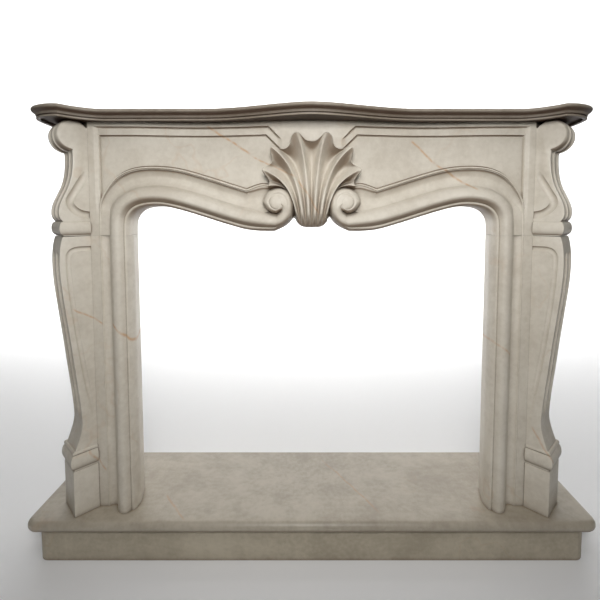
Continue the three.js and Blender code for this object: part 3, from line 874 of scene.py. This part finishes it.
@dataclass(frozen=True)
class Console:
    """Splayed console: fluted narrow face, grooved cheek, torus bands."""

    thick: float = 78  # width of the narrow face
    flutes: tuple = ((8, 35), (43, 70))  # places across it
    depth: float = 6
    arris: float = 1.4
    head_arris: float = 4  # on the scroll's head, by the inner cheek
    cheek_share: float = 0.7  # a band's swell there, over its swell in front
    clear: float = 34  # reach up to which a band stays off the return

    SCROLL_GROOVE = (
        (5, 925), (10, 908), (15, 892), (24, 876), (36, 855), (45, 838), (44, 824), (33, 811),
        (17, 802.5), (-8, 798.5),
    )
    LEG_GROOVE = (
        (-8, 190), (4, 248), (16, 320), (30, 420), (42, 520), (51, 610), (54, 682), (49, 704),
        (34, 711.5), (12, 712), (-8, 712),
    )
    HEAD_LINE = 962

    def place(self, u: np.ndarray, v: np.ndarray, z: np.ndarray) -> np.ndarray:
        """Point from the reach out along the splay, the place across it and the height."""
        k = math.sqrt(0.5)
        out = np.asarray(u) + LEVELS.gap
        x = -LEVELS.seam_x - (out + v) * k
        y = LEVELS.face - (out - v) * k
        return np.stack(np.broadcast_arrays(x, y, LEVELS.hearth_top + np.asarray(z)), axis=-1)

    def body(self, name: str, front: np.ndarray, low: float, high: float) -> bpy.types.Object:
        """Console body from its front line, given from the bottom up, and the flutes' ends."""
        run = np.gradient(front, axis=0)
        run /= np.linalg.norm(run, axis=1)[:, None]
        normal = np.stack([-run[:, 1], run[:, 0]], axis=1)
        across = [0, 0.4, self.arris, 3, 5, 7]
        for a, b in self.flutes:
            across += list(a + (b - a) * (1 - np.cos(np.linspace(0, np.pi, 13))) / 2)
        across += [self.thick - self.arris, self.thick - 0.4, self.thick]
        rings = []
        for v in across:
            edge = max(0.0, self.arris - min(v, self.thick - v))
            cut = np.full(len(front), self.arris - math.sqrt(max(self.arris ** 2 - edge ** 2, 0)))
            head = front[:, 1] > self.HEAD_LINE
            cut = cut + self.head_arris * head * max(0.0, 1 - v / 9) ** 1.5
            for a, b in self.flutes:
                half = (b - a) / 2
                reach = np.minimum(np.minimum(front[:, 1] - low, high - front[:, 1]), half)
                wide = np.sqrt(np.maximum(half ** 2 - (half - np.maximum(reach, 0)) ** 2, 0))
                off = abs(v - (a + b) / 2)
                bowl = 1 - (off / np.maximum(wide, 1e-6)) ** 2
                cut = np.maximum(cut, self.depth * np.sqrt(np.clip(bowl, 0, 1)) * (wide / half))
            line = front + normal * cut[:, None]
            line = np.concatenate([[(0, front[0, 1])], line, [(0, front[-1, 1])]])
            rings.append(self.place(line[:, 0], v, line[:, 1]))
        return Mesher.loft(name, rings, 30)

    def band(self, name: str, reach: float, levels: Pairs, back: float = 0) -> bpy.types.Object:
        """Band over the narrow face and the inner cheek.

        Args:
            name: the object's name.
            reach: how far out the band lies where it has no swell.
            levels: heights with the swell there.
            back: how far it stands out past the rear cheek.
        """
        rear = self.thick + back
        rings = []
        for z, e in levels:
            cheek = e * self.cheek_share
            u = np.array([LEVELS.gap + 0.2, reach + e, reach + e, self.clear, self.clear, 0, 0])
            v = np.array([-cheek, -cheek, rear, rear, self.thick, self.thick, 0])
            rings.append(self.place(u, v, z))
        return Mesher.loft(name, rings, 40)

    @staticmethod
    def half_round(low: float, high: float, swell: float) -> Pairs:
        """Heights and swell of a half-round torus."""
        angles = np.linspace(0, np.pi, 15)
        return list(zip(low + (high - low) * (1 - np.cos(angles)) / 2, swell * np.sin(angles)))

    def groove(self, rods: RodTree, line: tuple, radius: float, depth: float) -> bpy.types.Object:
        """Cutter for a round groove along a line on the inner cheek, that starts shallow."""
        path = catmull(np.array(line), 72)
        deep = (depth + 1) * ramp(np.arange(len(path)) / 20) - 1
        points = self.place(path[:, 0], deep - radius, path[:, 1])
        return rods.rod("groove_cutter", points, radius, None)

    def scroll(self, rods: RodTree) -> bpy.types.Object:
        """Upper bracket with its round head."""
        turn = np.linspace(2.503, -1.45, 46)
        head = np.column_stack([32 + 39.5 * np.cos(turn), 1003.5 + 39.5 * np.sin(turn)])
        neck = chain(
            (35.5, 961), ((34.5, 925), (38.5, 893), (50, 867), 14),
            ((60, 845), (72, 825), (71, 803), 12), ((70.7, 795), (68, 788.5), (63, 784), 5),
            ((63, 746.3),),
        )
        front = np.concatenate([head, neck])
        front[:, 1] = np.minimum(front[:, 1], 1041.7)
        body = self.body("scroll_stone_left", front[::-1], 788, 1034)
        Mesher.combine(body, [self.groove(rods, self.SCROLL_GROOVE, 12, 5)], "DIFFERENCE")
        Mesher.combine(body, [self.band("band", 63, self.half_round(748.5, 782.5, 9))], "UNION", 34)
        return body

    def leg(self, rods: RodTree) -> bpy.types.Object:
        """Lower leg with the torus and block at its foot."""
        front = chain(
            (64, 745), ((70, 732), (74, 700), (73.5, 665), 10),
            ((73, 610), (62, 540), (50, 418), 24), ((44, 355), (35.5, 290), (35, 250), 16),
            ((34.6, 226), (44, 204), (56, 171), 12), ((54, 169),), ((54, 0.5),),
        )
        body = self.body("leg_stone_left", front[::-1], 262, 705)
        Mesher.combine(body, [self.groove(rods, self.LEG_GROOVE, 8, 3)], "DIFFERENCE")
        block = [(0.5, 4), (121, 4), (123, 3.2), (124, 1.4), (124.4, 0.2)]
        fillet = [(168.4, 0.2), (169, 3), (169.6, 3.8), (173.4, 3.8), (174.6, 3), (177, 0.2)]
        levels = [*block, *self.half_round(128.5, 168, 10), *fillet]
        Mesher.combine(body, [self.band("band", 57, levels, 5)], "UNION", 34)
        return body


@dataclass(frozen=True)
class Shelf:
    """Serpentine shelf with a moulded edge and eared corners."""

    pocket: float = 20  # how far the recess for the stone below stays inside the edge
    drop: float = 28  # height of the moulded edge

    NOSE = (
        (7, 0), (4, 0.4), (1.8, 1.5), (0.5, 3.2), (0, 5.5), (0.6, 8), (2.4, 10.6), (5, 12.8),
        (7.4, 14.4), (8.8, 16.6), (9.4, 19), (10.2, 21), (14.5, 21.6), (14.5, 23.4),
        (11.2, 23.9), (10.6, 24.8),
        (10.6, 26.8), (11.2, 28),
    )

    def line(self) -> np.ndarray:
        """Front and side line of the shelf in plan, from the left wall corner."""
        wall = LEVELS.wall
        left = chain(
            (0, -wall), ((-70, -wall), (-170, -118), (-270, -118), 26),
            ((-400, -117),), ((-515, -116),), ((-548, -116), (-580, -142), (-598, -167), 16),
            ((-630, -172), (-676, -152), (-692, -118), 16),
            ((-704, -90), (-706, -40), (-708, 0), 12), ((-715, wall),),
        )
        return np.concatenate([left[1:][::-1], left * (-1, 1)])

    def build(self) -> bpy.types.Object:
        """Build the shelf."""
        lv = LEVELS
        line = self.line()
        plans = [inset(line, out) for out, _ in self.NOSE]
        heights = [lv.shelf_top - down for _, down in self.NOSE]
        shelf = Mesher.stack("shelf_stone", plans, heights, 40)
        plan = inset(line, self.pocket)
        plan[[0, -1], 1] += 10
        levels = [lv.shelf_top - self.drop - 10, lv.frieze_top]
        cutter = Mesher.stack("pocket_cutter", [plan, plan], levels)
        Mesher.combine(shelf, [cutter], "DIFFERENCE", 40)
        return shelf


@dataclass(frozen=True)
class Hearth:
    """Bullnosed slab on its plinth."""

    half: float = 752
    front: float = -133
    corner: float = 34
    plinth_half: float = 727
    plinth_corner: float = 26
    plinth_set_back: float = 20

    def line(self, half: float, front: float, radius: float) -> np.ndarray:
        """Front and side line of a block with rounded front corners."""
        turn = np.linspace(0, np.pi / 2, 15)
        x = -(half - radius + radius * np.cos(turn))
        corner = np.column_stack([x, front + radius - radius * np.sin(turn)])
        left = np.concatenate([[(-half, LEVELS.wall)], corner])
        return np.concatenate([left, left[::-1] * (-1, 1)])

    def slab(self) -> bpy.types.Object:
        """Slab with its half-round front and sides."""
        radius = (LEVELS.hearth_top - LEVELS.plinth_top - LEVELS.gap) / 2
        line = self.line(self.half, self.front, self.corner)
        angles = np.linspace(0, np.pi, 17)
        plans = [inset(line, radius * (1 - math.sin(a))) for a in angles]
        heights = [LEVELS.hearth_top - radius + radius * math.cos(a) for a in angles]
        return Mesher.stack("slab_stone", plans, heights, 40)

    def plinth(self) -> bpy.types.Object:
        """Plain course under the slab."""
        line = self.line(self.plinth_half, self.front + self.plinth_set_back, self.plinth_corner)
        arris = ((1.5, 0), (0.4, 0.4), (0, 1.5), (0, 86), (0.4, 87.4), (1.5, LEVELS.plinth_top))
        plans = [inset(line, grow) for grow, _ in arris]
        return Mesher.stack("plinth_stone", plans, [z for _, z in arris], 40)


@dataclass(frozen=True)
class Studio:
    """Floor, backdrop, lights and camera."""

    camera: Place = (0, -1.121, 0.916)
    pitch: float = 3.52
    lens: float = 24
    shift: tuple[float, float] = (-0.0195, -0.1007)
    glow: float = 0.05

    LIGHTS = (
        ("key", (0, -1.22, 1.21), (0, 0, 1.35), 0.3, 12.4, 180),
        ("soft", (0, -1.3, 2.7), (0, 0, 0.9), 0.8, 10, 180),
        ("top", (0, -0.7, 3.1), (0, -0.1, 0), 1.6, 7, 180),
        ("wash", (0, 2.0, 4.2), (0, 4.8, 1.4), 3, 210, 140),
        ("wash_side", (-3, 2.0, 4.2), (-4, 4.8, 1.4), 3, 140, 120),
        ("wash_side", (3, 2.0, 4.2), (4, 4.8, 1.4), 3, 140, 120),
    )

    def build(self) -> None:
        """Set the stage round the mantel."""
        data = bpy.data.cameras.new("view")
        data.lens = self.lens
        data.sensor_width = 36
        data.shift_x, data.shift_y = self.shift
        camera = add_object("view", data)
        camera.location = self.camera
        camera.rotation_euler = (math.radians(90 - self.pitch), 0, 0)
        bpy.context.scene.camera = camera
        self.floor()
        for light in self.LIGHTS:
            self.light(*light)
        world = bpy.data.worlds.new("studio")
        world.use_nodes = True
        sky = world.node_tree.nodes["Background"]
        sky.inputs["Color"].default_value = (1, 1, 1, 1)
        sky.inputs["Strength"].default_value = self.glow
        bpy.context.scene.view_settings.view_transform = "Standard"
        bpy.context.scene.world = world

    def floor(self) -> None:
        """Pale floor that turns up behind the mantel."""
        size, back, high, bend = 12, 5.0, 8.0, 1.5
        turn = np.linspace(0, np.pi / 2, 17)
        curve = [(back - bend + bend * math.sin(t), bend - bend * math.cos(t)) for t in turn]
        line = [(-size, 0.0), *curve, (back, high)]
        points = [(x * size, y, z) for y, z in line for x in (-1, 1)]
        faces = [(2 * i, 2 * i + 1, 2 * i + 3, 2 * i + 2) for i in range(len(line) - 1)]
        mesh = bpy.data.meshes.new("floor")
        mesh.from_pydata(points, [], faces)
        mesh.shade_smooth()
        floor = add_object("floor", mesh)
        book = NodeBook("floor_paint")
        book.surface({"Base Color": (0.9, 0.9, 0.9, 1), "Roughness": 0.8})
        mesh.materials.append(book.material)

    @staticmethod
    def light(
        name: str, place: Place, aim: Place, size: float, power: float, spread: float
    ) -> None:
        """Square soft light aimed at a point, with its spread in degrees."""
        data = bpy.data.lights.new(name, "AREA")
        data.size = size
        data.energy = power
        data.spread = math.radians(spread)
        light = add_object(name, data)
        light.location = place
        light.rotation_euler = (Vector(aim) - Vector(place)).to_track_quat("-Z", "Y").to_euler()


CREAM = MarbleFinish(
    "cream_marble", (0.66, 0.61, 0.52), (0.53, 0.475, 0.39), (0.52, 0.29, 0.13), 0.5,
    (
        Vein((-0.281, 0, 1.151), (-0.157, 0, 1.074), 0.005, 0.75),
        Vein((-0.160, 0, 1.072), (-0.037, 0, 1.010), 0.004, 0.65),
        Vein((-0.037, 0, 1.010), (0.022, 0, 0.912), 0.004, 0.6),
        Vein((0.262, 0, 1.116), (0.330, 0, 1.048), 0.005, 0.7),
        Vein((0.325, 0, 1.050), (0.435, 0, 0.980), 0.005, 0.65),
        Vein((-0.533, 0, 0.637), (-0.431, 0, 0.532), 0.005, 0.75),
        Vein((-0.620, 0, 0.675), (-0.555, 0, 0.622), 0.004, 0.6),
        Vein((0.449, 0, 0.602), (0.538, 0, 0.537), 0.005, 0.55),
        Vein((-0.600, 0, 0.290), (-0.560, 0, 0.215), 0.004, 0.55),
        Vein((0.592, 0, 0.350), (0.640, 0, 0.250), 0.004, 0.5),
    ),
)
HEARTH = MarbleFinish(
    "hearth_marble", (0.47, 0.42, 0.335), (0.335, 0.29, 0.225), (0.46, 0.27, 0.15), 0.42,
    (
        Vein((0.03, 0.15, 0.116), (0.19, -0.10, 0.116), 0.005, 0.5, (0, 0, 1)),
        Vein((-0.42, -0.02, 0.116), (-0.33, -0.12, 0.116), 0.005, 0.5, (0, 0, 1)),
    ),
)
PLINTH = MarbleFinish(
    "plinth_marble", (0.54, 0.48, 0.37), (0.38, 0.33, 0.245), (0.44, 0.27, 0.13), 0.6
)
SHELF = MarbleFinish(
    "shelf_marble", (0.29, 0.25, 0.20), (0.19, 0.155, 0.115), (0.30, 0.18, 0.10), 0.58,
    # Heavy painted shade, dark in the shelf's hollows and under its edge.
    shade_colour=(0.045, 0.022, 0.010), hollow_shade=0.9, underside_shade=0.97, reach=0.05,
)


def dress(piece: bpy.types.Object, finish: bpy.types.Material, slot: str, *nodes: str) -> None:
    """Give a piece its material, and tie it to the CAD nodes that it replaces."""
    piece.data.materials.clear()
    piece.data.materials.append(finish)
    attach(piece, "root")
    if nodes:
        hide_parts(*nodes)
    LOG.info("%s: %d faces", piece.name, len(piece.data.polygons))


def main() -> None:
    """Build the mantel and its studio."""
    logging.basicConfig(level=logging.INFO, format="%(message)s")
    cream, hearth, plinth, shelf = (f.build() for f in (CREAM, HEARTH, PLINTH, SHELF))
    stone = Hearth()
    dress(stone.slab(), hearth, "hearth_marble", "hearth_slab")
    dress(stone.plinth(), plinth, "hearth_marble", "hearth_plinth")
    dress(Shelf().build(), shelf, "shelf_marble", "shelf")
    rods = RodTree()
    dress(Frieze().build(rods, cream), cream, "marble", "frieze")
    console = Console()
    pairs = (
        (Jamb().build(), "jamb"), (console.leg(rods), "console_leg"),
        (console.scroll(rods), "console_scroll"),
    )
    for left, node in pairs:
        for side, piece in zip(Side, Mesher.both(left)):
            dress(piece, cream, "marble", f"{node}_{side.value}")
    for side in Side:
        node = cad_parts[f"return_{side.value}"]
        node.data.materials.clear()
        node.data.materials.append(cream)
    Studio().build()
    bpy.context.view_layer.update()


if __name__ == "__main__":
    main()
